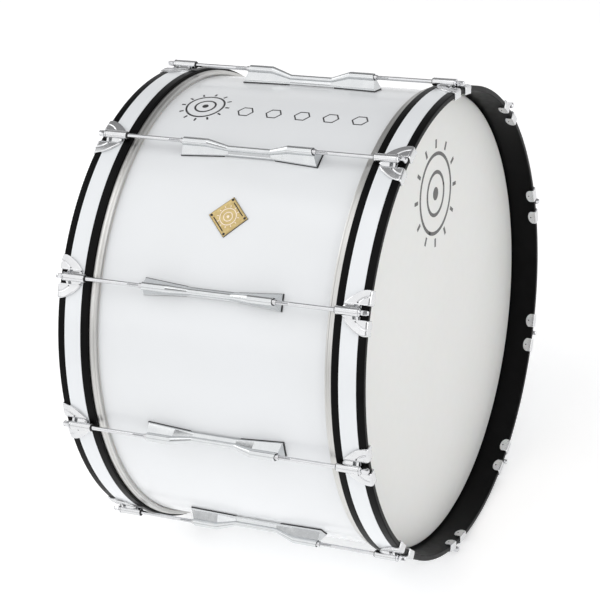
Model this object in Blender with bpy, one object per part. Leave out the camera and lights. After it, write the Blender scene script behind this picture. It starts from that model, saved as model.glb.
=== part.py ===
"""Marching bass drum: shell, two heads, two counter-hoops, ten double-ended lugs, and a claw and a
tension rod at each end of each lug.

Row frame, metres: +X is the drum's axis, +Z is up, and the origin is on the floor under the middle
of the drum, which lies on its two counter-hoops. Angles around the drum start at the top and grow
towards -Y. Side +1 is the +X head, side -1 the -X head.
"""

from math import cos, pi, radians, sin

import bmesh
import bpy
from mathutils import Matrix, Vector

# Driving dimensions
SHELL_R = 0.3075            # outside of the shell, wrap included
SHELL_WALL = 0.0072
SHELL_HALF = 0.1778         # half the shell's depth: a 14 in shell
HOOP_R = 0.3180             # outside of the counter-hoops
HOOP_WALL = 0.0074
HOOP_INNER_X = 0.1710       # the hoop's edge over the flesh hoop
HOOP_RIM_X = 0.2150         # the hoop's free edge
INLAY_X = (0.1814, 0.2048)  # the inlay strip lies between these
INLAY_DEPTH = 0.0010
INLAY_THICK = 0.0006
GAP = 0.0003                # between pieces that touch

EDGE_PEAK_IN = 0.0023       # bearing edge: peak, measured in from the outside of the shell
EDGE_ROUND = 0.0015         # its round-over along the axis

FILM = 0.0005               # head film
FILM_SKIRT_X = 0.1630       # where the film's skirt ends
FLESH_R = (0.3087, 0.3145)
FLESH_X = (0.1610, 0.1707)

LUGS = 10
FIRST_LUG = -18.0           # degrees from the top
ROD_AXIS_R = 0.3250

LUG_BASE_R = SHELL_R + 0.0015   # the gasket's thickness above the shell
LUG_FLANGE = 0.0020
LUG_END = 0.0960            # half length at the base
LUG_END_LEAN = 0.0060       # how far the end face leans in towards the ridge
LUG_TUBE_R = 0.0055
LUG_SHOULDER = 0.0570       # the ridge is level from here to the end
LUG_WAIST = 0.0300          # half length of the straight waist
LUG_WAIST_TOP_R = 0.3210
LUG_WAIST_TUBE_R = 0.0034
LUG_HALF_WIDTH = 0.0108     # at the ends
LUG_WAIST_HALF_WIDTH = 0.0057
SOCKET_R = 0.0043           # bore for the swivel nut
SOCKET_X = 0.0560

CLAW_SEAT_R = HOOP_R + 0.00075
CLAW_PLATE = 0.0020
CLAW_RIM_X = HOOP_RIM_X + GAP
CLAW_TONGUE_R = HOOP_R - HOOP_WALL - GAP
CLAW_TUBE_R = 0.0055
CLAW_TUBE_X = (0.1750, 0.2055)
CLAW_BORE_R = 0.0034
CLAW_WEB_X = (0.1815, 0.2040)
CLAW_WEB_HALF = (0.0066, 0.0096)
# Half a claw, from its window outwards: distance from the centre line, where the fan's edge is,
# and where the inner tongue ends.
CLAW_STATIONS = ((0.0088, 0.1865, 0.2090), (0.0130, 0.1895, 0.2052),
                 (0.0225, 0.1975, 0.2052), (0.0280, 0.2065, 0.2100))

ROD_R = 0.00275
ROD_END_X = 0.0640
FLANGE_R = 0.0058
FLANGE_X = (0.2058, 0.2073)
KEY_HALF = 0.0030           # square key head, half its width across the flats
KEY_CORNER = 0.0022
KEY_END_X = 0.2175

BADGE_ANGLE = 35.4          # degrees from the top, about midway between two lugs
BADGE_HALF = 0.0270         # centre to corner
BADGE_R = (SHELL_R + 0.00075, SHELL_R + 0.0019)
BADGE_STEP = 0.0090

RING_SIDES = 60
TUBE_SIDES = 10
ROUND_LIMIT = radians(35)   # edges sharper than this stay sharp


def material(name, colour, metallic, roughness):
    """A Principled material."""
    made = bpy.data.materials.new(name)
    made.use_nodes = True
    shader = made.node_tree.nodes["Principled BSDF"]
    shader.inputs["Base Color"].default_value = (*colour, 1.0)
    shader.inputs["Metallic"].default_value = metallic
    shader.inputs["Roughness"].default_value = roughness
    return made


def around(x, r, angle):
    """A point at x along the axis, r from it, and an angle in radians from the top."""
    return Vector((x, -r * sin(angle), r * cos(angle)))


def loft(rings, closed_round=False):
    """One mesh through rings with the same number of points. Ends are capped, or joined round."""
    bm = bmesh.new()
    rows = [[bm.verts.new(point) for point in ring] for ring in rings]
    pairs = list(zip(rows, rows[1:]))
    if closed_round:
        pairs.append((rows[-1], rows[0]))
    for row, following in pairs:
        for i, corner in enumerate(row):
            after = (i + 1) % len(row)
            bm.faces.new((corner, row[after], following[after], following[i]))
    if not closed_round:
        bm.faces.new(rows[0])
        bm.faces.new(rows[-1])
    return as_mesh(bm)


def as_mesh(bm):
    """The bmesh as a mesh with its faces pointing out and its round faces smooth."""
    bmesh.ops.recalc_face_normals(bm, faces=bm.faces)
    mesh = bpy.data.meshes.new("shape")
    bm.to_mesh(mesh)
    bm.free()
    mesh.shade_smooth()
    mesh.set_sharp_from_angle(angle=ROUND_LIMIT)
    return mesh


def turned(profile):
    """A ring turned about the drum's axis. Its flats touch the profile's radii, one at the bottom."""
    step = 2 * pi / RING_SIDES
    grow = 1 / cos(step / 2)
    return loft([[around(x, r * grow, (k + 0.5) * step) for x, r in profile]
                 for k in range(RING_SIDES)], closed_round=True)


def prism(radius, x0, x1, centre_r, sides):
    """A round bar along X, with its axis centre_r above the drum's axis."""
    return loft([[Vector((x, radius * cos(a), centre_r + radius * sin(a)))
                  for a in [2 * pi * (k + 0.5) / sides for k in range(sides)]] for x in (x0, x1)])


def combine(base, *steps):
    """The mesh of base after Boolean steps, each a pair of an operation and a mesh."""
    def helper(mesh):
        made = bpy.data.objects.new("helper", mesh)
        bpy.context.collection.objects.link(made)
        return made

    whole = helper(base)
    tools = []
    for operation, mesh in steps:
        tool = helper(mesh)
        tools.append(tool)
        step = whole.modifiers.new(operation, "BOOLEAN")
        step.operation = operation
        step.object = tool
        step.solver = "EXACT"
    result = bpy.data.meshes.new_from_object(whole.evaluated_get(bpy.context.evaluated_depsgraph_get()))
    for used in [whole, *tools]:
        bpy.data.objects.remove(used)
    result.shade_smooth()
    result.set_sharp_from_angle(angle=ROUND_LIMIT)
    return result


def place(name, mesh, finish, angle=0.0, side=1, axis_r=0.0):
    """A named piece, turned to its angle around the drum. Side -1 turns it end for end first."""
    mesh.materials.clear()
    mesh.materials.append(finish)
    piece = bpy.data.objects.new(name, mesh)
    bpy.context.collection.objects.link(piece)
    turn = Matrix.Rotation(radians(angle), 4, "X")
    if side < 0:
        turn = turn @ Matrix.Rotation(pi, 4, "Z")
    centre = Vector((0.0, 0.0, HOOP_R)) + around(0.0, axis_r, radians(angle))
    piece.matrix_world = Matrix.Translation(centre) @ turn
    return piece


def shell_mesh():
    """The tube, with a bearing edge at each end: a small round-over outside and 45 degrees inside."""
    inner_r = SHELL_R - SHELL_WALL
    cut = SHELL_WALL - EDGE_PEAK_IN
    half = [(SHELL_HALF - EDGE_ROUND, SHELL_R), (SHELL_HALF, SHELL_R - EDGE_PEAK_IN),
            (SHELL_HALF - cut, inner_r)]
    return turned(half + [(-x, r) for x, r in reversed(half)])


def hoop_mesh():
    """A counter-hoop with a shallow groove round it for the inlay strip."""
    inner_r = HOOP_R - HOOP_WALL
    groove = (INLAY_X[0] - GAP, INLAY_X[1] + GAP)
    floor_r = HOOP_R - INLAY_DEPTH
    return turned([(HOOP_INNER_X, inner_r), (HOOP_RIM_X, inner_r), (HOOP_RIM_X, HOOP_R),
                   (groove[1], HOOP_R), (groove[1], floor_r), (groove[0], floor_r),
                   (groove[0], HOOP_R), (HOOP_INNER_X, HOOP_R)])


def band_mesh(x0, x1, inner_r, outer_r):
    """A plain flat ring."""
    return turned([(x0, inner_r), (x1, inner_r), (x1, outer_r), (x0, outer_r)])


def head_mesh():
    """The film: a flat disc over the bearing edge, with a skirt down the outside of the shell."""
    face_x = SHELL_HALF + GAP
    skirt_r = SHELL_R + GAP
    step = 2 * pi / RING_SIDES
    grow = 1 / cos(step / 2)
    profile = [(face_x + FILM, skirt_r + FILM), (FILM_SKIRT_X, skirt_r + FILM),
               (FILM_SKIRT_X, skirt_r), (face_x, skirt_r)]
    bm = bmesh.new()
    rings = [[bm.verts.new(around(x, r * grow, (k + 0.5) * step)) for k in range(RING_SIDES)]
             for x, r in profile]
    for ring, following in zip(rings, rings[1:]):
        for k in range(RING_SIDES):
            after = (k + 1) % RING_SIDES
            bm.faces.new((ring[k], ring[after], following[after], following[k]))
    bm.faces.new(rings[0])
    bm.faces.new(rings[-1])
    return as_mesh(bm)


def lug_section(x, half_width, tube_r, top_r):
    """One section of the lug: flat base, short flange, slanting sides and a round ridge."""
    centre_r = top_r - tube_r
    side = [(half_width, LUG_BASE_R), (half_width, LUG_BASE_R + LUG_FLANGE)]
    ridge = [(tube_r * cos(radians(a)), centre_r + tube_r * sin(radians(a)))
             for a in (-40, 0, 45, 90, 135, 180, 220)]
    outline = side + ridge + [(-v, r) for v, r in reversed(side)]
    lean = LUG_END_LEAN if abs(x) >= LUG_END else 0.0
    end = 1 if x > 0 else -1
    height = top_r - LUG_BASE_R
    return [Vector((x - end * lean * (r - LUG_BASE_R) / height, v, r)) for v, r in outline]


def lug_mesh():
    """A double-ended lug: high ends joined by a lower, narrower waist, with a socket in each end."""
    top_r = ROD_AXIS_R + LUG_TUBE_R
    ends = (LUG_HALF_WIDTH, LUG_TUBE_R, top_r)
    waist = (LUG_WAIST_HALF_WIDTH, LUG_WAIST_TUBE_R, LUG_WAIST_TOP_R)
    stations = [(LUG_WAIST, waist), (LUG_SHOULDER, ends), (LUG_END, ends)]
    sections = [lug_section(-x, *shape) for x, shape in reversed(stations)]
    sections += [lug_section(x, *shape) for x, shape in stations]
    beyond = LUG_END + 0.01
    return combine(loft(sections),
                   ("DIFFERENCE", prism(SOCKET_R, SOCKET_X, beyond, ROD_AXIS_R, TUBE_SIDES)),
                   ("DIFFERENCE", prism(SOCKET_R, -beyond, -SOCKET_X, ROD_AXIS_R, TUBE_SIDES)))


def claw_side(sign):
    """One prong with its half of the fan: over the hoop, round its rim and back along its inside."""
    top_r = CLAW_SEAT_R + CLAW_PLATE
    low_r = CLAW_TONGUE_R - CLAW_PLATE
    rim_x = CLAW_RIM_X + CLAW_PLATE
    rings = []
    for across, fan_x, tongue_x in CLAW_STATIONS:
        outline = [(fan_x, top_r), (rim_x, top_r), (rim_x, low_r), (tongue_x, low_r),
                   (tongue_x, CLAW_TONGUE_R), (CLAW_RIM_X, CLAW_TONGUE_R),
                   (CLAW_RIM_X, CLAW_SEAT_R), (fan_x, CLAW_SEAT_R)]
        rings.append([around(x, r, sign * across / HOOP_R) for x, r in outline])
    return loft(rings)


def claw_web():
    """The plate between the prongs, under the tube."""
    inset = CLAW_PLATE / 8
    low_r = CLAW_SEAT_R + inset
    top_r = CLAW_SEAT_R + CLAW_PLATE - inset
    rings = []
    for x, half in zip(CLAW_WEB_X, CLAW_WEB_HALF):
        angle = half / HOOP_R
        rings.append([around(x, low_r, -angle), around(x, low_r, angle),
                      around(x, top_r, angle), around(x, top_r, -angle)])
    return loft(rings)


def claw_mesh():
    """A claw: two prongs, the plate between them, and the tube that the rod passes through."""
    bore = prism(CLAW_BORE_R, CLAW_TUBE_X[0] - 0.01, CLAW_TUBE_X[1] + 0.01, ROD_AXIS_R, TUBE_SIDES)
    return combine(claw_web(), ("UNION", claw_side(1)), ("UNION", claw_side(-1)),
                   ("UNION", prism(CLAW_TUBE_R, *CLAW_TUBE_X, ROD_AXIS_R, TUBE_SIDES)),
                   ("DIFFERENCE", bore))


def rod_mesh():
    """A tension rod about its own axis: round rod, flange, and square key head."""
    def round_ring(x, radius):
        return [Vector((x, radius * cos(a), radius * sin(a)))
                for a in [pi / 4 * (k + 0.5) for k in range(8)]]

    def key_ring(x):
        quarter = [(KEY_HALF, KEY_CORNER), (KEY_CORNER, KEY_HALF)]
        ring = []
        for k in range(4):
            turn = Matrix.Rotation(k * pi / 2, 3, "X")
            ring += [turn @ Vector((x, y, z)) for y, z in quarter]
        return ring

    return loft([round_ring(ROD_END_X, ROD_R), round_ring(FLANGE_X[0], ROD_R),
                 round_ring(FLANGE_X[0], FLANGE_R), round_ring(FLANGE_X[1], FLANGE_R),
                 key_ring(FLANGE_X[1]), key_ring(KEY_END_X)])


def badge_mesh():
    """A square plate standing on its corner, bent to the shell."""
    steps = round(BADGE_HALF / BADGE_STEP)
    tip = 0.0008
    rings = []
    for k in range(-steps, steps + 1):
        across = k * BADGE_STEP
        half = max(BADGE_HALF - abs(across), tip)
        angle = across / SHELL_R
        rings.append([around(x, r, angle) for x, r in
                      ((-half, BADGE_R[0]), (half, BADGE_R[0]), (half, BADGE_R[1]), (-half, BADGE_R[1]))])
    return loft(rings)


def build():
    """Clear the scene and make every piece."""
    for old in list(bpy.data.objects):
        bpy.data.objects.remove(old)
    wrap = material("gloss_white_wrap", (0.86, 0.88, 0.89), 0.0, 0.18)
    black = material("gloss_black_lacquer", (0.012, 0.012, 0.013), 0.0, 0.16)
    strip = material("white_inlay", (0.84, 0.86, 0.88), 0.0, 0.25)
    film = material("head_film", (0.80, 0.79, 0.77), 0.0, 0.45)
    ring = material("flesh_hoop_metal", (0.50, 0.49, 0.47), 1.0, 0.42)
    cast = material("bright_cast_chrome", (0.80, 0.81, 0.83), 1.0, 0.16)
    steel = material("chromed_steel", (0.78, 0.79, 0.80), 1.0, 0.14)
    brass = material("badge_brass", (0.70, 0.52, 0.26), 1.0, 0.28)

    place("shell", shell_mesh(), wrap)
    place("badge", badge_mesh(), brass, BADGE_ANGLE)
    lug = lug_mesh()
    claw = claw_mesh()
    rod = rod_mesh()
    angles = [FIRST_LUG + k * 360.0 / LUGS for k in range(LUGS)]
    for k, angle in enumerate(angles, 1):
        place(f"lug_{k:02d}", lug, cast, angle)
    for side, label in ((1, "right"), (-1, "left")):
        place(f"hoop_{label}", hoop_mesh(), black, 0.0, side)
        floor_r = HOOP_R - INLAY_DEPTH + GAP
        place(f"hoop_inlay_{label}", band_mesh(*INLAY_X, floor_r, floor_r + INLAY_THICK), strip, 0.0, side)
        place(f"head_{label}", head_mesh(), film, 0.0, side)
        place(f"flesh_hoop_{label}", band_mesh(*FLESH_X, *FLESH_R), ring, 0.0, side)
        for k, angle in enumerate(angles, 1):
            place(f"claw_{label}_{k:02d}", claw, cast, angle, side)
            place(f"rod_{label}_{k:02d}", rod, steel, angle, side, ROD_AXIS_R)


build()
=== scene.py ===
"""Marching bass drum: the fine meshes, materials, light and camera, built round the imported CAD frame.

Lengths are metres in the CAD's frame: X is the drum's axis and Z is up. Pieces that repeat round the
drum are modelled once, at the top of the drum with the drum's axis along X through the origin, and
then placed at their angle (from the top towards -Y) and side (+1 right head, -1 left head).
"""

from math import asin, atan2, cos, pi, radians, sin, sqrt

import bmesh
import bpy
from mathutils import Matrix, Vector


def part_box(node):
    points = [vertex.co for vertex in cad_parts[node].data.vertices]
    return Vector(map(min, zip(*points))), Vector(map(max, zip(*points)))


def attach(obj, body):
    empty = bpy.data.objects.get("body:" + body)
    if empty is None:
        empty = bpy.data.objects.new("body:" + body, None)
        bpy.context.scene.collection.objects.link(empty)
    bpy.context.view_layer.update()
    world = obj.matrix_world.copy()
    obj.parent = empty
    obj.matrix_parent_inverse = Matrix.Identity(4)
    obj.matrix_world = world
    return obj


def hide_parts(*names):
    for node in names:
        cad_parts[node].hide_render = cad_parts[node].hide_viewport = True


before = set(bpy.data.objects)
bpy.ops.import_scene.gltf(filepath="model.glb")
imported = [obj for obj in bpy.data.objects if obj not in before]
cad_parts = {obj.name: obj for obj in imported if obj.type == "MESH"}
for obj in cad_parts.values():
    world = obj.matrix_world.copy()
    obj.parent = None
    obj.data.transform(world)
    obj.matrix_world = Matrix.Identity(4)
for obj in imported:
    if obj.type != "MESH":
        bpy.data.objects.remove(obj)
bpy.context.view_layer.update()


# Sizes read from the frame
HOOP_LOW, HOOP_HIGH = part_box("hoop_right")
HOOP_R = (HOOP_HIGH.z - HOOP_LOW.z) / 2
AXIS_Z = (HOOP_HIGH.z + HOOP_LOW.z) / 2
RIM_X = HOOP_HIGH.x
HOOP_EDGE_X = HOOP_LOW.x
SHELL_LOW, SHELL_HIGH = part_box("shell")
SHELL_R = (SHELL_HIGH.z - SHELL_LOW.z) / 2
SHELL_HALF = SHELL_HIGH.x
INLAY_LOW, INLAY_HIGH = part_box("hoop_inlay_right")
FLESH_LOW, FLESH_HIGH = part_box("flesh_hoop_right")
FLESH_R = (FLESH_HIGH.z - FLESH_LOW.z) / 2
HEAD_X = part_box("head_right")[1].x
LUG_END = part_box("lug_04")[1].x
ROD_LOW, ROD_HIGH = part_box("rod_right_04")
ROD_R = -(ROD_LOW.y + ROD_HIGH.y) / 2   # the fourth rod lies level with the axis, at -Y

# Sizes and angles common to several pieces; angles are in degrees from the top
SHELL_WALL = 0.0072
HOOP_WALL = 0.0074
LUGS = 10
FIRST_LUG = -18.0
ANGLES = [FIRST_LUG + k * 360.0 / LUGS for k in range(LUGS)]
SEAM_ANGLE = 180.0
BADGE_ANGLE = 35.4
SHELL_MARK_ANGLE = 1.2
HEAD_MARK_ANGLE = -18.4
SIDES = ((1, "right"), (-1, "left"))
RING_STEPS = 288


# Mesh helpers

def as_mesh(bm, sharp=32.0, merge=1e-6):
    """The bmesh as a mesh, welded, facing out, and smooth except at sharp edges."""
    bmesh.ops.remove_doubles(bm, verts=bm.verts, dist=merge)
    bmesh.ops.recalc_face_normals(bm, faces=bm.faces)
    mesh = bpy.data.meshes.new("shape")
    bm.to_mesh(mesh)
    bm.free()
    mesh.shade_smooth()
    mesh.set_sharp_from_angle(angle=radians(sharp))
    return mesh


def around(x, r, angle):
    """A point at x along the drum's axis, r from it, at an angle in radians from the top."""
    return Vector((x, -r * sin(angle), r * cos(angle)))


def filleted(points, steps=5):
    """A closed outline with its corners rounded. A point is (x, r, fillet radius)."""
    made = []
    for i, (x, r, radius) in enumerate(points):
        here = Vector((x, r))
        if radius <= 0:
            made.append(here)
            continue
        before = Vector(points[i - 1][:2]) - here
        after = Vector(points[(i + 1) % len(points)][:2]) - here
        half = before.angle(after) / 2
        reach = radius / abs(sin(half)) * cos(half)
        start = here + before.normalized() * reach
        end = here + after.normalized() * reach
        for k in range(steps + 1):
            t = k / steps
            made.append(start * (1 - t) ** 2 + here * 2 * t * (1 - t) + end * t ** 2)
    return [(point.x, point.y) for point in made]


def add_band(bm, row, following, closed=True):
    """Quads between two rows of vertices of the same length."""
    for i in range(len(row) if closed else len(row) - 1):
        j = (i + 1) % len(row)
        bm.faces.new((row[i], row[j], following[j], following[i]))


def turned(outline, sharp=32.0):
    """A closed outline of (x, r) turned about the drum's axis."""
    bm = bmesh.new()
    rows = [[bm.verts.new(around(x, r, 2 * pi * k / RING_STEPS)) for x, r in outline]
            for k in range(RING_STEPS)]
    on_axis = [r < 1e-7 for x, r in outline]
    for row, following in zip(rows, rows[1:] + rows[:1]):
        for i in range(len(row)):
            j = (i + 1) % len(row)
            if not (on_axis[i] and on_axis[j]):
                bm.faces.new((row[i], row[j], following[j], following[i]))
    bmesh.ops.remove_doubles(bm, verts=bm.verts, dist=1e-7)
    bmesh.ops.dissolve_degenerate(bm, dist=1e-7, edges=bm.edges)
    return as_mesh(bm, sharp)


def add_loft(bm, rings):
    """Skins rings with the same number of points and caps both ends."""
    rows = [[bm.verts.new(point) for point in ring] for ring in rings]
    for row, following in zip(rows, rows[1:]):
        add_band(bm, row, following)
    bm.faces.new(rows[0])
    bm.faces.new(rows[-1])


def add_rod_turned(bm, outline, steps, closed=True):
    """An outline of (x, radius) turned about the top rod's own axis."""
    rows = []
    for k in range(steps):
        a = 2 * pi * k / steps
        rows.append([bm.verts.new(Vector((x, radius * cos(a), ROD_R + radius * sin(a))))
                     for x, radius in outline])
    for row, following in zip(rows, rows[1:] + rows[:1]):
        add_band(bm, row, following, closed)


def bevelled(mesh, width):
    """The mesh with its sharp edges bevelled and its normals weighted by face area."""
    helper = bpy.data.objects.new("helper", mesh)
    bpy.context.collection.objects.link(helper)
    bevel = helper.modifiers.new("bevel", "BEVEL")
    bevel.width = width
    bevel.segments = 2
    bevel.limit_method = "ANGLE"
    bevel.angle_limit = radians(40.0)
    weigh = helper.modifiers.new("weigh", "WEIGHTED_NORMAL")
    weigh.weight = 100
    weigh.keep_sharp = True
    graph = bpy.context.evaluated_depsgraph_get()
    result = bpy.data.meshes.new_from_object(helper.evaluated_get(graph))
    bpy.data.objects.remove(helper)
    return result


def put(name, mesh, body, finish, nodes=(), angle=0.0, side=1):
    """A named piece at its angle and side, riding on a body and standing for CAD nodes."""
    if len(mesh.materials) == 0:
        mesh.materials.append(finish)
    piece = bpy.data.objects.new(name, mesh)
    bpy.context.collection.objects.link(piece)
    turn = Matrix.Rotation(radians(angle), 4, "X")
    if side < 0:
        turn = turn @ Matrix.Rotation(pi, 4, "Z")
    piece.matrix_world = Matrix.Translation((0.0, 0.0, AXIS_Z)) @ turn
    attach(piece, body)
    if nodes:
        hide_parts(*nodes)


# Materials

NOISE_LOW, NOISE_HIGH = 0.3, 0.7     # most of a noise texture's values lie between these


class Finish:
    """A Principled material with short calls for its procedural detail."""

    def __init__(self, name, colour, metallic, roughness, **sockets):
        self.material = bpy.data.materials.new(name)
        self.material.use_nodes = True
        self.nodes = self.material.node_tree.nodes
        self.links = self.material.node_tree.links
        self.shader = self.nodes["Principled BSDF"]
        self.colour = colour
        self.shader.inputs["Base Color"].default_value = (*colour, 1.0)
        self.shader.inputs["Metallic"].default_value = metallic
        self.shader.inputs["Roughness"].default_value = roughness
        for socket, value in sockets.items():
            self.shader.inputs[socket.replace("_", " ")].default_value = value
        self.place = self.nodes.new("ShaderNodeTexCoord").outputs["Object"]

    def noise(self, scale, detail=4.0, stretch=None):
        """Noise over the object's own coordinates, stretched by a factor on each axis."""
        texture = self.nodes.new("ShaderNodeTexNoise")
        texture.inputs["Scale"].default_value = scale
        texture.inputs["Detail"].default_value = detail
        source = self.place
        if stretch:
            mapping = self.nodes.new("ShaderNodeMapping")
            mapping.inputs["Scale"].default_value = stretch
            self.links.new(source, mapping.inputs["Vector"])
            source = mapping.outputs["Vector"]
        self.links.new(source, texture.inputs["Vector"])
        return texture.outputs["Fac"]

    def spread(self, value, low, high):
        """The noise value mapped to low..high."""
        ranged = self.nodes.new("ShaderNodeMapRange")
        ranged.inputs["From Min"].default_value = NOISE_LOW
        ranged.inputs["From Max"].default_value = NOISE_HIGH
        ranged.inputs["To Min"].default_value = low
        ranged.inputs["To Max"].default_value = high
        self.links.new(value, ranged.inputs["Value"])
        return ranged.outputs["Result"]

    def shades(self, value, dark, light):
        """Colours the surface between two tints of its base colour, by the noise value."""
        ramp = self.nodes.new("ShaderNodeValToRGB")
        for element, tint in zip(ramp.color_ramp.elements, (dark, light)):
            element.color = (*[min(1.0, c * t) for c, t in zip(self.colour, tint)], 1.0)
        ramp.color_ramp.elements[0].position = NOISE_LOW
        ramp.color_ramp.elements[1].position = NOISE_HIGH
        self.links.new(value, ramp.inputs["Fac"])
        self.links.new(ramp.outputs["Color"], self.shader.inputs["Base Color"])

    def rough(self, value):
        """Takes the roughness from a value."""
        self.links.new(value, self.shader.inputs["Roughness"])

    def bump(self, height, distance, strength=1.0):
        """Bump of the height, added over any bump before it."""
        node = self.nodes.new("ShaderNodeBump")
        node.inputs["Distance"].default_value = distance
        node.inputs["Strength"].default_value = strength
        self.links.new(height, node.inputs["Height"])
        normal = self.shader.inputs["Normal"]
        if normal.is_linked:
            self.links.new(normal.links[0].from_socket, node.inputs["Normal"])
        self.links.new(node.outputs["Normal"], normal)


def wrap_finish(name="shell_wrap", colour=(0.80, 0.815, 0.83)):
    """Gloss white plastic wrap: faint mottle, and a trace of the ply's ripple under it."""
    finish = Finish(name, colour, 0.0, 0.24, Coat_Weight=0.3, Coat_Roughness=0.12, IOR=1.45)
    finish.shades(finish.noise(9.0), (0.985, 0.985, 0.98), (1.0, 1.0, 1.0))
    finish.rough(finish.spread(finish.noise(40.0), 0.19, 0.26))
    finish.bump(finish.noise(16.0, 1.0, (1.0, 3.0, 3.0)), 0.0004, 0.15)
    finish.bump(finish.noise(650.0, 2.0), 0.00003, 0.1)
    return finish.material


def lacquer_finish():
    """Gloss black lacquer over a bent wooden hoop: the grain shows faintly through it."""
    finish = Finish("hoop_lacquer", (0.0028, 0.0028, 0.0030), 0.0, 0.3, Specular_IOR_Level=0.07)
    finish.shades(finish.noise(60.0), (0.8, 0.8, 0.8), (1.3, 1.3, 1.3))
    finish.rough(finish.spread(finish.noise(120.0), 0.29, 0.38))
    finish.bump(finish.noise(140.0, 3.0, (6.0, 0.6, 0.6)), 0.0001, 0.12)
    finish.bump(finish.noise(900.0, 2.0), 0.00003, 0.2)
    return finish.material


def film_finish():
    """Frosted polyester film: fine even grain, a little light through it."""
    finish = Finish("head_film", (0.745, 0.722, 0.702), 0.0, 0.42, IOR=1.5,
                    Subsurface_Weight=0.08, Subsurface_Scale=0.004)
    finish.shades(finish.noise(5.0), (0.975, 0.975, 0.97), (1.0, 1.0, 1.0))
    finish.rough(finish.spread(finish.noise(80.0), 0.36, 0.5))
    finish.bump(finish.noise(1400.0, 2.0), 0.00004, 0.35)
    finish.bump(finish.noise(3.0, 1.0), 0.002, 0.12)
    return finish.material


def chrome_finish(name, colour, low, high, cast=0.5):
    """Chrome plate: brightness and polish vary slightly, and castings keep a soft ripple."""
    finish = Finish(name, colour, 1.0, low)
    finish.shades(finish.noise(70.0), (0.93, 0.93, 0.94), (1.0, 1.0, 1.0))
    finish.rough(finish.spread(finish.noise(180.0), low, high))
    finish.bump(finish.noise(90.0, 2.0), 0.0004, 0.10 * cast)
    finish.bump(finish.noise(900.0, 3.0), 0.00004, 0.3 * cast)
    return finish.material


def aluminium_finish():
    """Bare rolled aluminium, brushed along its length."""
    finish = Finish("flesh_hoop_metal", (0.64, 0.635, 0.62), 1.0, 0.3)
    finish.shades(finish.noise(14.0), (0.86, 0.86, 0.85), (1.0, 1.0, 1.0))
    finish.rough(finish.spread(finish.noise(200.0, 3.0, (8.0, 1.0, 1.0)), 0.29, 0.38))
    finish.bump(finish.noise(500.0, 2.0, (8.0, 0.3, 0.3)), 0.00004, 0.12)
    return finish.material


def rubber_and_shade_finish():
    """Black moulded rubber, also used as painted shade: the ring round each swivel nut and the sheet
    under the badge.
    """
    finish = Finish("black_rubber_and_shade", (0.016, 0.016, 0.017), 0.0, 0.6)
    finish.shades(finish.noise(200.0), (0.7, 0.7, 0.7), (1.4, 1.4, 1.4))
    finish.rough(finish.spread(finish.noise(260.0), 0.5, 0.75))
    finish.bump(finish.noise(1500.0, 2.0), 0.00005, 0.5)
    return finish.material


def brass_finish():
    """Gold-plated stamped brass, with darker lacquer settled in patches."""
    finish = Finish("badge_brass", (0.56, 0.44, 0.21), 0.85, 0.32)
    finish.shades(finish.noise(260.0), (0.84, 0.80, 0.74), (1.05, 1.05, 1.05))
    finish.rough(finish.spread(finish.noise(600.0), 0.29, 0.42))
    finish.bump(finish.noise(1800.0, 3.0), 0.00005, 0.5)
    return finish.material


def print_finish():
    """Dark grey screen-print ink."""
    finish = Finish("print_ink", (0.022, 0.022, 0.024), 0.0, 0.4)
    finish.shades(finish.noise(300.0), (0.8, 0.8, 0.8), (1.25, 1.25, 1.25))
    finish.rough(finish.spread(finish.noise(500.0), 0.33, 0.5))
    finish.bump(finish.noise(2500.0, 2.0), 0.00002, 0.3)
    return finish.material


def head_ink_finish():
    """Worn grey ink on the head."""
    finish = Finish("head_ink", (0.085, 0.083, 0.08), 0.0, 0.45)
    finish.shades(finish.noise(260.0), (0.85, 0.85, 0.85), (1.2, 1.2, 1.2))
    finish.rough(finish.spread(finish.noise(500.0), 0.38, 0.52))
    return finish.material


def badge_line_finish():
    """Pale raised lines of the badge's mark, where the lacquer is rubbed off."""
    finish = Finish("badge_lines", (0.86, 0.74, 0.62), 0.6, 0.35)
    finish.shades(finish.noise(500.0), (0.85, 0.85, 0.85), (1.05, 1.05, 1.05))
    finish.rough(finish.spread(finish.noise(900.0), 0.3, 0.45))
    return finish.material


# Shell, hoops and heads. Outlines are lists of (x, r, fillet radius).

def shell_mesh():
    """The shell tube with its bearing edges."""
    half = [(SHELL_HALF - 0.0015, SHELL_R - 0.00005, 0.0008), (SHELL_HALF, SHELL_R - 0.0023, 0.0003),
            (SHELL_HALF - 0.0049, SHELL_R - SHELL_WALL, 0.0)]
    return turned(filleted(half + [(-x, r, f) for x, r, f in reversed(half)]))


def wrap_seam_mesh():
    """The lap where the wrap's ends meet: a thin raised strip along the shell."""
    half = 0.0065
    high = 0.0003
    reach = FLESH_LOW.x - 0.001
    section = ((-half, -high), (half, -high), (half - high, high), (0.0, high), (high - half, high))
    bm = bmesh.new()
    add_loft(bm, [[around(x, SHELL_R + h, v / SHELL_R) for v, h in section] for x in (-reach, reach)])
    return as_mesh(bm)


def hoop_mesh():
    """The counter-hoop: rounded edges, and the groove for its inlay."""
    inner = HOOP_R - HOOP_WALL
    floor_r = HOOP_R - 0.001
    gap = 0.00015
    lip = 0.0002
    x0, x1 = INLAY_LOW.x - gap, INLAY_HIGH.x + gap
    return turned(filleted([(HOOP_EDGE_X, inner, 0.0010), (RIM_X, inner, 0.0014), (RIM_X, HOOP_R, 0.0016),
                            (x1, HOOP_R, lip), (x1, floor_r, 0.0), (x0, floor_r, 0.0),
                            (x0, HOOP_R, lip), (HOOP_EDGE_X, HOOP_R, 0.0014)]))


def inlay_mesh():
    """The white strip, a hair proud of the lacquer with soft edges."""
    low = HOOP_R - 0.0009
    high = HOOP_R + 0.00006
    soft = 0.00025
    return turned(filleted([(INLAY_LOW.x, low, 0.0), (INLAY_HIGH.x, low, 0.0),
                            (INLAY_HIGH.x, high, soft), (INLAY_LOW.x, high, soft)]))


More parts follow.
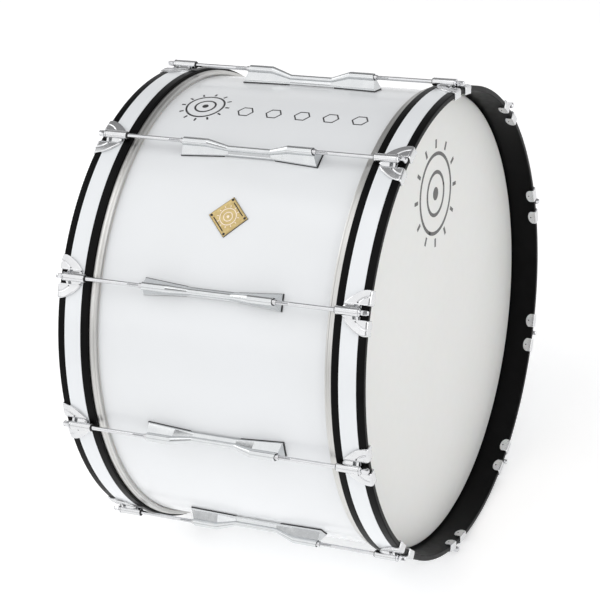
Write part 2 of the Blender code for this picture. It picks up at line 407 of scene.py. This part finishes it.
def flesh_mesh():
    """The head's metal ring: a folded channel with a bead along its edge."""
    inner = SHELL_R + 0.0012
    valley = FLESH_R - 0.0008
    mid = (FLESH_LOW.x + FLESH_HIGH.x) / 2
    return turned(filleted([(FLESH_LOW.x, inner, 0.0003), (FLESH_HIGH.x, inner, 0.0003),
                            (FLESH_HIGH.x, FLESH_R, 0.0009), (mid + 0.0012, FLESH_R, 0.0004),
                            (mid + 0.0006, valley, 0.0003), (mid - 0.0018, valley, 0.0003),
                            (mid - 0.0024, FLESH_R - 0.0004, 0.0004),
                            (FLESH_LOW.x, FLESH_R - 0.0006, 0.0014)]))


def head_mesh():
    """The film: flat over the shell, round over the bearing edge, and down to the flesh hoop."""
    thick = 0.0003
    skirt_r = SHELL_R + 0.0008
    skirt_end = FLESH_LOW.x - 0.0008
    flat_r = SHELL_R - 0.003     # the film's inner face is offset along X within this radius
    bend = 0.0040
    steps = 6
    outer = [(HEAD_X, r) for r in (0.0, 0.10, 0.20, SHELL_R - 0.012)]
    outer.append((HEAD_X - 0.0001, SHELL_R - 0.0045))
    for k in range(steps + 1):
        a = pi / 2 * k / steps
        outer.append((HEAD_X - 0.0002 - bend * (1 - cos(a)), skirt_r - bend + bend * sin(a)))
    outer.append((skirt_end, skirt_r))
    inner = [(x - thick, r) if r < flat_r else (x - thick * 0.7, r - thick) for x, r in outer[:-1]]
    inner.append((skirt_end, skirt_r - thick))
    return turned(outer + inner[::-1], sharp=60.0)


# Lugs

LUG_WAIST = 0.0300       # the narrow waist reaches this far from the middle
LUG_SHOULDER = 0.0570    # the ridge is level from here to the end
LUG_LEAN = 0.0055        # how much further in the end face's top is than its foot
LUG_TOP = ROD_R + 0.0055
LUG_BASE_R = SHELL_R + 0.0014
LUG_FLANGE = 0.0021
LUG_ARC = [-42 + 264 * k / 14 for k in range(15)]   # degrees round the ridge
SOCKET_R = 0.0048
SOCKET_LIP, SOCKET_DEPTH = 0.0005, 0.010


def lug_half_shape(x):
    """Half width, ridge radius and ridge height of the lug at x: a low waist, a slope, a high end."""
    waist = (0.0057, 0.0038, ROD_R - 0.0040)
    end = (0.0109, 0.0055, LUG_TOP)
    past = max(0.0, abs(x) - LUG_WAIST)
    widen = min(1.0, past / (LUG_END - LUG_WAIST))
    rise = min(1.0, past / (LUG_SHOULDER - LUG_WAIST))
    return [a + (b - a) * t for a, b, t in zip(waist, end, (widen, rise, rise))]


def lug_face_x(r):
    """Where the lug's leaning end face is, at r from the drum's axis."""
    return LUG_END - LUG_LEAN * (r - LUG_BASE_R) / (LUG_TOP - LUG_BASE_R)


def lug_ring(x, lean=0.0):
    """One section of the lug, leaning inwards by lean at the ridge."""
    half, tube_r, top = lug_half_shape(x)
    centre = top - tube_r
    flange_r = LUG_BASE_R + LUG_FLANGE
    side = [(half - 0.0008, LUG_BASE_R), (half, LUG_BASE_R + 0.0002), (half, flange_r)]
    arc = [(tube_r * cos(radians(a)), centre + tube_r * sin(radians(a))) for a in LUG_ARC]
    foot = (half - 0.0005, flange_r + 0.0003)
    cheek = [tuple(a + (b - a) * k / 5 for a, b in zip(foot, arc[0])) for k in range(5)]
    outline = side + cheek + arc + [(-v, r) for v, r in reversed(side + cheek)]
    slope = (lean if x > 0 else -lean) / (top - LUG_BASE_R)
    return [Vector((x - slope * (r - LUG_BASE_R), v, r)) for v, r in outline]


def add_socket(bm, row, sign):
    """A round socket in the end face whose outline is row: a short lip, a bore and its floor."""
    before = row
    for depth in (0.0, SOCKET_LIP, SOCKET_DEPTH):
        ring = []
        for vert in row:
            a = atan2(vert.co.z - ROD_R, vert.co.y)
            r = ROD_R + SOCKET_R * sin(a)
            mouth = LUG_END - LUG_LEAN if depth == SOCKET_DEPTH else lug_face_x(r)
            ring.append(bm.verts.new((sign * (mouth - depth), SOCKET_R * cos(a), r)))
        add_band(bm, before, ring)
        before = ring
    bm.faces.new(before)


def lug_mesh():
    """The double-ended lug, with a round socket in each leaning end face."""
    cut = 0.0007     # the waist's and the shoulder's corners are cut this far to each side
    stations = [x + step for x in (LUG_WAIST, LUG_SHOULDER) for step in (-cut, cut)]
    rings = [lug_ring(-LUG_END, LUG_LEAN)] + [lug_ring(-x) for x in reversed(stations)]
    rings += [lug_ring(x) for x in [0.0] + stations] + [lug_ring(LUG_END, LUG_LEAN)]
    bm = bmesh.new()
    rows = [[bm.verts.new(point) for point in ring] for ring in rings]
    for row, following in zip(rows, rows[1:]):
        add_band(bm, row, following)
    add_socket(bm, rows[0], -1)
    add_socket(bm, rows[-1], 1)
    return bevelled(as_mesh(bm, 30.0), 0.0004)


def gasket_mesh():
    """The rubber under one end of a lug, showing a little all round it."""
    bm = bmesh.new()
    low = SHELL_R - 0.0002
    top = LUG_BASE_R + 0.0001
    tip = 0.0355
    rings = []
    for x in (tip, 0.0370, 0.050, 0.065, 0.080, 0.0955, 0.0970):
        half = lug_half_shape(x)[0] + 0.0003
        if x == tip:
            half -= 0.0004
        rings.append([Vector((x, v, sqrt(low ** 2 - v ** 2))) for v in (-half, 0.0, half)]
                     + [Vector((x, v, top)) for v in (half, 0.0, -half)])
    add_loft(bm, rings)
    return bevelled(as_mesh(bm), 0.0002)


def socket_shade_mesh():
    """A black ring round the swivel nut, sunk in the lug's socket as painted shade, cut along the lug's
    leaning end face.
    """
    bm = bmesh.new()
    deep = -0.006
    inner, outer = 0.0038, SOCKET_R - 0.0002
    add_rod_turned(bm, [(deep, inner), (-0.0003, inner), (-0.0002, outer), (deep, outer)], 32)
    for vert in bm.verts:
        vert.co.x += lug_face_x(vert.co.z)
    return as_mesh(bm)


def swivel_mesh():
    """The swivel nut's end: a short sleeve in the lug's socket, with the rod's bore through it."""
    bm = bmesh.new()
    bore, outer = 0.0029, 0.0036
    back, front = LUG_END - 0.0130, LUG_END - 0.0002
    outline = [(back, bore, 0.0), (front, bore, 0.0003), (front, outer, 0.0006), (back, outer, 0.0)]
    add_rod_turned(bm, filleted(outline, 3), 28)
    return as_mesh(bm)


# Claws

CLAW_GAP = 0.0003        # between the claw's inner faces and the hoop
CLAW_RIM = RIM_X + CLAW_GAP
CLAW_OUT = CLAW_RIM + 0.0020
PLATE_LOW = HOOP_R + CLAW_GAP
PLATE_TOP = HOOP_R + 0.0026
TONGUE_TOP = HOOP_R - HOOP_WALL - CLAW_GAP
TONGUE_LOW = TONGUE_TOP - 0.0020
TONGUE_TIP, TONGUE_ROUND = 0.2045, 0.0078    # the tip's x, and how far its corners are rounded back
WINDOW_HALF = 0.00875    # half the gap between the two prongs
CLAW_HALF = 0.0284
CLAW_BEND = 0.0031       # the outer bend over the rim
SIDE_ROUND, SIDE_DROP = 0.0022, 0.0015   # the prong's side edges are rounded
FAN_START, FAN_DEPTH = 0.1820, 0.0350    # in x: the fan's foremost point, and how far it falls back
FAN_FLAT, FAN_WIDE = 0.0075, 0.0211      # across: the straight part, and the curve beyond it
FAN_LAST = 0.2125        # the plate starts no later than this
FILLET_START, FILLET_WIDE, FILLET_HIGH = 0.0050, 0.0052, 0.0034      # from the wing up to the tube
SWELL_MIDDLE, SWELL_HALF, SWELL_HIGH = 0.0150, 0.0140, 0.0007        # the wing is a little domed
EDGE_FADE, EDGE_SHARE = 0.0035, 0.35     # near the fan's edge only this share of the lift is left
GROOVE_X, GROOVE_V, GROOVE_R = 0.2195, -0.0040, 0.0245   # the groove is an arc about this point
GROOVE_START, GROOVE_STOP = 0.0112, 0.2150
GROOVE_HALF, GROOVE_DEPTH = 0.0014, 0.0009
WEB_START = 0.1822
TUBE_START, TUBE_END = 0.1752, 0.2054
TUBE_R, TUBE_BORE = 0.0055, 0.0035


def fan_x(across):
    """Where the fan's convex edge is, for a distance across from the claw's centre line."""
    bend = min(1.0, max(0.0, (across - FAN_FLAT) / FAN_WIDE))
    return FAN_START + FAN_DEPTH * (asin(bend) / (pi / 2)) ** 1.25


def wing_lift(x, across):
    """Height of the wing's outer face over the plain plate: a fillet up to the tube, and a groove."""
    side = abs(across)
    lift = FILLET_HIGH * max(0.0, 1 - max(0.0, side - FILLET_START) / FILLET_WIDE) ** 2
    lift += SWELL_HIGH * cos(min(1.0, abs(side - SWELL_MIDDLE) / SWELL_HALF) * pi / 2)
    fade = min(1.0, max(0.0, (x - fan_x(side)) / EDGE_FADE))
    lift *= EDGE_SHARE + (1 - EDGE_SHARE) * fade
    off = abs(sqrt((x - GROOVE_X) ** 2 + (side - GROOVE_V) ** 2) - GROOVE_R)
    if side > GROOVE_START and x < GROOVE_STOP and off < GROOVE_HALF:
        lift -= GROOVE_DEPTH * (1 - off / GROOVE_HALF)
    return lift


def prong_ring(across, sign):
    """The closed section of a prong at a distance across: outer face, rim, and tongue inside."""
    start = min(fan_x(across), FAN_LAST)
    middle = (WINDOW_HALF - 0.0008 + CLAW_HALF) / 2
    reach = (CLAW_HALF - WINDOW_HALF + 0.0012) / 2
    bend = min(1.0, abs(across - middle) / reach)
    tongue = TONGUE_TIP + TONGUE_ROUND * (1 - sqrt(1 - bend ** 2))
    near_side = max(0.0, 1 - min(across - WINDOW_HALF, CLAW_HALF - across) / SIDE_ROUND)
    out = CLAW_OUT - SIDE_DROP * (1 - sqrt(1 - near_side ** 2))
    top = PLATE_TOP - (CLAW_OUT - out) * 0.6
    points = []
    count = 36
    for k in range(count + 1):
        x = start + (out - CLAW_BEND - start) * k / count
        soft_edge = 0.0006 * max(0.0, 1 - k / 1.5)
        points.append((x, top + wing_lift(x, across) - soft_edge))
    for k in range(1, 5):
        a = pi / 2 * k / 4
        lift = wing_lift(CLAW_OUT, across) * (1 - k / 4)
        points.append((out - CLAW_BEND * (1 - sin(a)), top + lift - CLAW_BEND * (1 - cos(a))))
    lip = 0.0014
    for k in range(4):
        a = pi / 2 * k / 3
        points.append((out - lip * (1 - cos(a)), TONGUE_LOW + lip * (1 - sin(a))))
    points += [(tongue + 0.0008, TONGUE_LOW), (tongue, TONGUE_LOW + 0.0007),
               (tongue, TONGUE_TOP - 0.0005), (tongue + 0.0006, TONGUE_TOP),
               (CLAW_RIM, TONGUE_TOP), (CLAW_RIM, PLATE_LOW), (start, PLATE_LOW)]
    return [around(x, r, sign * across / HOOP_R) for x, r in points]


def web_ring(x, wide):
    """A section of the web between the prongs: right across, or only under the tube."""
    half = WINDOW_HALF + 0.0003 if wide else 0.0051
    half = min(half, 0.0062 + (x - WEB_START) * 0.8)
    count = 12
    spots = [-half + 2 * half * i / count for i in range(count + 1)]
    return ([around(x, PLATE_LOW, v / HOOP_R) for v in reversed(spots)]
            + [around(x, PLATE_TOP + wing_lift(x, v) - 0.00004, v / HOOP_R) for v in spots])


def claw_mesh():
    """The claw: two wings that wrap the rim, the web between them, and the rod's tube."""
    bm = bmesh.new()
    steps = 44
    middle, half = (CLAW_HALF + WINDOW_HALF) / 2, (CLAW_HALF - WINDOW_HALF) / 2
    across = [middle + half * sin(pi * (k / steps - 0.5)) for k in range(steps + 1)]
    for sign in (1, -1):
        add_loft(bm, [prong_ring(v, sign) for v in across])
    webs = ((WEB_START, 0.1962, True), (0.1960, 0.2012, False), (0.2010, 0.2040, True))
    for x0, x1, wide in webs:
        add_loft(bm, [web_ring(x0 + (x1 - x0) * k / 6, wide) for k in range(7)])
    tube = [(TUBE_START, TUBE_BORE, 0.0), (TUBE_END, TUBE_BORE, 0.0003),
            (TUBE_END, TUBE_R, 0.0006), (TUBE_START, TUBE_R, 0.0007)]
    add_rod_turned(bm, filleted(tube, 4), 32)
    return as_mesh(bm, 38.0)


def grommet_mesh():
    """The dark grommet in the mouth of the claw's tube."""
    bm = bmesh.new()
    lip, face, back = TUBE_START - 0.0011, TUBE_START - 0.0001, TUBE_START + 0.0038
    bore, fit = 0.0030, TUBE_BORE - 0.0001
    outline = filleted([(lip, bore, 0.0002), (back, bore, 0.0), (back, fit, 0.0),
                        (face, fit, 0.0), (face, 0.0048, 0.0002), (lip, 0.0047, 0.0004)], 3)
    add_rod_turned(bm, outline, 24)
    return as_mesh(bm)


def dimple_mesh():
    """Small dark dots: at the start of each wing's groove, and on each tongue inside the hoop."""
    bm = bmesh.new()
    circle = [2 * pi * i / 12 for i in range(12)]
    tongue_dot = (0.2092, TONGUE_LOW, 0.0185, 0.0009, (0.0006, -0.0002))
    groove_dot = (0.2004, PLATE_TOP, 0.0114, 0.0008, (-0.0004, 0.00065))
    for x, r, across, radius, heights in (tongue_dot, groove_dot):
        for sign in (1, -1):
            centre = around(x, r, sign * across / HOOP_R)
            add_loft(bm, [[centre + Vector((radius * cos(a), radius * sin(a), height)) for a in circle]
                          for height in heights])
    return as_mesh(bm)


# Rods

THREAD_PITCH = 0.0254 / 24
THREAD_START, THREAD_END = 0.0850, 0.1120
FLANGE_X = 0.2056
FLANGE_OUTLINE = ((0.0, 0.0055), (0.0003, 0.0058), (0.0012, 0.0058), (0.0016, 0.0054),
                  (0.0019, 0.0040), (0.0028, 0.0027), (0.0034, 0.0027))     # (x from the flange, radius)
KEY_HALF, KEY_CUT = 0.0031, 0.0026       # the key head's half width, and where its corners are cut


def rod_mesh():
    """A tension rod: threaded towards the lug, plain to the claw, round flange, square key head."""
    bm = bmesh.new()
    crest, root = 0.00275, 0.00245
    outline = [(ROD_LOW.x, 0.0018), (ROD_LOW.x + 0.0008, root), (THREAD_START, root)]
    x = THREAD_START
    while x < THREAD_END:
        outline += [(x + THREAD_PITCH * 0.5, crest), (x + THREAD_PITCH, root)]
        x += THREAD_PITCH
    outline += [(x + 0.001, crest), (FLANGE_X, crest)]
    outline += [(FLANGE_X + along, radius) for along, radius in FLANGE_OUTLINE]
    add_rod_turned(bm, outline, 20, closed=False)
    half, cut = KEY_HALF, KEY_CUT
    square = ((half, -cut), (half, cut), (cut, half), (-cut, half),
              (-half, cut), (-half, -cut), (-cut, -half), (cut, -half))
    stations = ((FLANGE_X + 0.0030, 0.80), (FLANGE_X + 0.0036, 1.0),
                (ROD_HIGH.x - 0.0012, 1.0), (ROD_HIGH.x, 0.72))
    add_loft(bm, [[Vector((x, y * scale, ROD_R + z * scale)) for y, z in square]
                  for x, scale in stations])
    bmesh.ops.holes_fill(bm, edges=[e for e in bm.edges if e.is_boundary], sides=40)
    return as_mesh(bm, 40.0)


# Badge and printed marks

BADGE_HALF = 0.0270
BADGE_FACE = 0.0016      # the plate's face, over the wrap
BADGE_IN, BADGE_OUT = 0.79, 0.86     # the grooves' edges, as shares of the half size
BADGE_PLAIN = 0.12       # share of a side left plain at each end of its groove
INK_HIGH, INK_LOW = 0.00010, -0.0002


def on_shell(x, across, height):
    """A point on the shell, by its distance along X and across, and its height over the wrap."""
    return around(x, SHELL_R + height, across / SHELL_R)


def sheet_grid(rows, height, thick):
    """A thin curved plate on the shell over rows of (x, across) points."""
    bm = bmesh.new()
    top = [[bm.verts.new(on_shell(x, v, height(x, v))) for x, v in row] for row in rows]
    low = [[bm.verts.new(on_shell(x, v, height(x, v) - thick)) for x, v in row] for row in rows]
    borders = []
    for grid in (top, low):
        for row, following in zip(grid, grid[1:]):
            add_band(bm, row, following, closed=False)
        borders.append(grid[0] + [row[-1] for row in grid[1:-1]] + grid[-1][::-1]
                       + [row[0] for row in reversed(grid[1:-1])])
    add_band(bm, *borders)
    return as_mesh(bm, 40.0, 1e-7)


def diamond(half, steps):
    """Rows of (x, across) points over a square that stands on its corner."""
    places = [-1 + 2 * k / steps for k in range(steps + 1)]
    return [[(half * (s + t) / 2, half * (s - t) / 2) for t in places] for s in places]


def badge_mesh():
    """The square plate on its corner: a raised border, and a groove along two opposite sides."""
    def height(x, v):
        s = abs(x + v) / BADGE_HALF
        t = abs(x - v) / BADGE_HALF
        edge = max(s, t)
        if edge > 0.97:
            return BADGE_FACE - 0.0003
        if edge > BADGE_OUT:
            return BADGE_FACE + 0.0003
        if t > BADGE_IN and s < 0.62:
            return BADGE_FACE - 0.0004
        return BADGE_FACE

    return sheet_grid(diamond(BADGE_HALF, 72), height, 0.0013)


def badge_edge_shade_mesh():
    """A black sheet under the badge, a little larger than the plate, so that its rim is painted shade
    along the plate's edges.
    """
    return sheet_grid(diamond(BADGE_HALF + 0.0006, 12), lambda x, v: 0.0010, 0.0012)


def badge_groove_mesh():
    """Black fill in the badge's two straight grooves."""
    bm = bmesh.new()
    inner, outer = BADGE_HALF * BADGE_IN, BADGE_HALF * BADGE_OUT
    low, high = BADGE_FACE - 0.0006, BADGE_FACE + 0.00015
    steps = 6
    for (x0, v0), (x1, v1) in (((0, 1), (-1, 0)), ((0, -1), (1, 0))):
        rings = []
        for k in range(steps + 1):
            t = BADGE_PLAIN + (1 - 2 * BADGE_PLAIN) * k / steps
            x, v = x0 + (x1 - x0) * t, v0 + (v1 - v0) * t
            rings.append([on_shell(x * size, v * size, height) for size, height
                          in ((inner, low), (outer, low), (outer, high), (inner, high))])
        add_loft(bm, rings)
    return as_mesh(bm, 30.0, 1e-8)


def rivet_mesh():
    """Four small dark domed rivets near the badge's corners."""
    bm = bmesh.new()
    reach = 0.0232
    dome = ((0.0018, -0.0004), (0.0018, 0.0003), (0.0014, 0.0007), (0.0007, 0.0009))
    along = Vector((1.0, 0.0, 0.0))
    circle = [2 * pi * i / 16 for i in range(16)]
    for x, v in ((reach, 0.0), (-reach, 0.0), (0.0, reach), (0.0, -reach)):
        centre = on_shell(x, v, BADGE_FACE)
        up = Vector((0.0, centre.y, centre.z)).normalized()
        across = up.cross(along)
        add_loft(bm, [[centre + (along * cos(a) + across * sin(a)) * radius + up * lift for a in circle]
                      for radius, lift in dome])
    return as_mesh(bm, 50.0)


def polar(r, a):
    """The point at r from the centre, at an angle a in radians."""
    return r * cos(a), r * sin(a)


def ring_parts(outer, line, count):
    """A ring of ink in count straight parts, each a list of (u, w) corners."""
    inner = outer - line
    turns = [2 * pi * k / count for k in range(count + 1)]
    return [[polar(inner, a), polar(outer, a), polar(outer, b), polar(inner, b)]
            for a, b in zip(turns, turns[1:])]


def sun_lines(radius, line, rays=12):
    """A dot, two rings round it and rays outside, in parts."""
    dot, small, near, far = [radius * share for share in (0.16, 0.56, 1.09, 1.30)]
    parts = [[polar(dot, 2 * pi * k / 24) for k in range(24)]]
    parts += ring_parts(radius, line, 64) + ring_parts(small, line, 64)
    for k in range(rays):
        a = 2 * pi * k / rays
        part = []
        for r, side in ((near, -1), (far, -1), (far, 1), (near, 1)):
            u, w = polar(r, a)
            part.append((u - side * sin(a) * line / 2, w + side * cos(a) * line / 2))
        parts.append(part)
    return parts


def moved(parts, u, w):
    """The parts of a mark, moved by (u, w)."""
    return [[(a + u, b + w) for a, b in part] for part in parts]


def printed(parts, point):
    """Thin ink over a surface: each part is lifted by point(u, w, height)."""
    bm = bmesh.new()
    for part in parts:
        top = [bm.verts.new(point(u, w, INK_HIGH)) for u, w in part]
        low = [bm.verts.new(point(u, w, INK_LOW)) for u, w in part]
        bm.faces.new(top)
        bm.faces.new(low[::-1])
        add_band(bm, top, low)
    return as_mesh(bm, 30.0, 1e-8)


# Assembly

def build_lugs(rubber):
    """Ten lugs, each with a gasket, a swivel nut and a black ring of painted shade round the nut, at both
    ends.
    """
    chrome = chrome_finish("lug_chrome", (0.66, 0.675, 0.68), 0.10, 0.18)
    nut = chrome_finish("nut_chrome", (0.62, 0.62, 0.63), 0.14, 0.26)
    lug = lug_mesh()
    # the black ring round each swivel nut is painted shade inside the socket
    ends = (("lug_gasket", gasket_mesh(), rubber), ("swivel_nut", swivel_mesh(), nut),
            ("socket_shade_ring", socket_shade_mesh(), rubber))
    for k, angle in enumerate(ANGLES, 1):
        put(f"lug_body_{k:02d}", lug, "drum", chrome, [f"lug_{k:02d}"], angle)
        for side, label in SIDES:
            for name, mesh, finish in ends:
                put(f"{name}_{label}_{k:02d}", mesh, "drum", finish, (), angle, side)


def build_badge(rubber):
    """The badge with a black sheet under it as painted shade round its edges, and its grooves, rivets and
    sun.
    """
    rays = printed(sun_lines(0.0118, 0.0011), lambda x, v, h: on_shell(x, v, BADGE_FACE + 0.0001 + h))
    pieces = (("badge_plate", badge_mesh(), brass_finish(), ["badge"]),
              # the black sheet under the badge is painted shade along the plate's edges
              ("badge_edge_shade", badge_edge_shade_mesh(), rubber, ()),
              ("badge_groove", badge_groove_mesh(), rubber, ()),
              ("badge_rays", rays, badge_line_finish(), ()),
              ("badge_rivets", rivet_mesh(), rubber, ()))
    for name, mesh, finish, nodes in pieces:
        put(name, mesh, "drum", finish, nodes, BADGE_ANGLE)


def build_shell_mark():
    """A sun and a row of five open hexagons, printed along the top of the shell."""
    mark = moved(sun_lines(0.0270, 0.0026), -0.1075, 0.0)
    for k in range(5):
        mark += moved(ring_parts(0.0118, 0.0021, 6), -0.0455 + k * 0.0408, 0.0055)
    put("shell_mark", printed(mark, on_shell), "drum", print_finish(), (), SHELL_MARK_ANGLE)


def build_drum():
    """Everything that stays with the shell, except the heads."""
    wrap = wrap_finish()
    rubber = rubber_and_shade_finish()
    put("shell_wrapped", shell_mesh(), "drum", wrap, ["shell"])
    put("shell_wrap_seam", wrap_seam_mesh(), "drum", wrap, angle=SEAM_ANGLE)
    build_lugs(rubber)
    build_badge(rubber)
    build_shell_mark()


def build_heads():
    """The two heads' films, and the sun printed near the right one's edge."""
    film = film_finish()
    head = head_mesh()
    for side, label in SIDES:
        put(f"head_film_{label}", head, "drum", film, [f"head_{label}"], 0.0, side)
    up = 0.1757      # from the drum's axis to the mark's centre
    mark = printed(sun_lines(0.056, 0.0050), lambda u, w, h: Vector((HEAD_X + h, w, up + u)))
    put("head_mark", mark, "drum", head_ink_finish(), (), HEAD_MARK_ANGLE)


def build_hoops():
    """Each side's counter-hoop, inlay, flesh hoop, claws and rods, on their moving bodies."""
    lacquer = lacquer_finish()
    strip = wrap_finish("hoop_inlay", (0.80, 0.82, 0.84))
    metal = aluminium_finish()
    cast = chrome_finish("claw_chrome", (0.70, 0.705, 0.71), 0.16, 0.25, 0.8)
    steel = chrome_finish("rod_chrome", (0.68, 0.685, 0.695), 0.08, 0.15, 0.4)
    rubber = rubber_and_shade_finish()
    hoop, inlay, flesh = hoop_mesh(), inlay_mesh(), flesh_mesh()
    claw, grommet, rod, dots = claw_mesh(), grommet_mesh(), rod_mesh(), dimple_mesh()
    for side, label in SIDES:
        body = f"hoop_{label}"
        put(f"counter_hoop_{label}", hoop, body, lacquer, [f"hoop_{label}"], 0.0, side)
        put(f"inlay_strip_{label}", inlay, body, strip, [f"hoop_inlay_{label}"], 0.0, side)
        put(f"flesh_ring_{label}", flesh, body, metal, [f"flesh_hoop_{label}"], 0.0, side)
        for k, angle in enumerate(ANGLES, 1):
            tag = f"{label}_{k:02d}"
            put(f"claw_hook_{tag}", claw, body, cast, [f"claw_{tag}"], angle, side)
            put(f"claw_grommet_{tag}", grommet, body, rubber, (), angle, side)
            put(f"claw_dots_{tag}", dots, body, rubber, (), angle, side)
            put(f"tension_rod_{tag}", rod, f"rod_{tag}", steel, [f"rod_{tag}"], angle, side)


def build_floor():
    """A plain pale floor."""
    reach, level = 14.0, -0.0005
    square = [(x * reach, y * reach, level) for x, y in ((-1, -1), (1, -1), (1, 1), (-1, 1))]
    mesh = bpy.data.meshes.new("floor")
    mesh.from_pydata(square, [], [(0, 1, 2, 3)])
    floor = bpy.data.objects.new("floor", mesh)
    bpy.context.collection.objects.link(floor)
    pale = Finish("floor_pale", (0.93, 0.93, 0.93), 0.0, 0.9)
    pale.shades(pale.noise(0.7), (0.995, 0.995, 0.995), (1.0, 1.0, 1.0))
    pale.shader.inputs["Emission Color"].default_value = (1.0, 1.0, 1.0, 1.0)
    pale.shader.inputs["Emission Strength"].default_value = 0.34
    mesh.materials.append(pale.material)


def build_sky():
    """Soft grey light all round: bright up to the horizon and darker overhead."""
    world = bpy.data.worlds.new("studio")
    bpy.context.scene.world = world
    world.use_nodes = True
    tree = world.node_tree
    sky = tree.nodes["Background"]
    spot = tree.nodes.new("ShaderNodeTexCoord")
    split = tree.nodes.new("ShaderNodeSeparateXYZ")
    tree.links.new(spot.outputs["Generated"], split.inputs["Vector"])
    ramp = tree.nodes.new("ShaderNodeValToRGB")
    stops = ((0.0, 0.92), (0.20, 0.80), (0.38, 0.42), (0.55, 0.30), (0.78, 0.34), (1.0, 0.36))
    while len(ramp.color_ramp.elements) < len(stops):
        ramp.color_ramp.elements.new(0.5)
    for element, (position, grey) in zip(ramp.color_ramp.elements, stops):
        element.position = position
        element.color = (grey, grey, grey * 1.01, 1.0)
    tree.links.new(split.outputs["Z"], ramp.inputs["Fac"])
    tree.links.new(ramp.outputs["Color"], sky.inputs["Color"])
    sky.inputs["Strength"].default_value = 0.98


def build_lamps():
    """Four large soft lamps, all aimed at the drum's middle."""
    aim = Vector((0.0, 0.0, AXIS_Z))
    lamps = (("key", (-1.7, -2.2, 3.05), 4.6, 59.0), ("right", (3.2, -0.6, 1.8), 2.4, 34.0),
             ("left", (-3.3, 0.2, 2.2), 2.4, 32.0), ("top", (0.6, -0.6, 3.7), 3.2, 24.0))
    for name, place, size, power in lamps:
        data = bpy.data.lights.new(name, "AREA")
        data.shape = "SQUARE"
        data.size = size
        data.energy = power
        lamp = bpy.data.objects.new(name, data)
        bpy.context.collection.objects.link(lamp)
        lamp.location = place
        lamp.rotation_euler = (aim - Vector(place)).to_track_quat("-Z", "Y").to_euler()


def build_camera():
    """A long lens from the front right, well above the drum, and tipped to the left."""
    data = bpy.data.cameras.new("camera")
    data.lens = 120.4
    camera = bpy.data.objects.new("camera", data)
    bpy.context.collection.objects.link(camera)
    camera.location = (1.1366, -2.0415, 1.8078)
    camera.rotation_euler = (radians(57.34), radians(8.32), radians(24.24))
    bpy.context.scene.camera = camera


build_camera()
build_drum()
build_heads()
build_hoops()
build_floor()
build_sky()
build_lamps()
bpy.context.scene.view_settings.view_transform = "Standard"
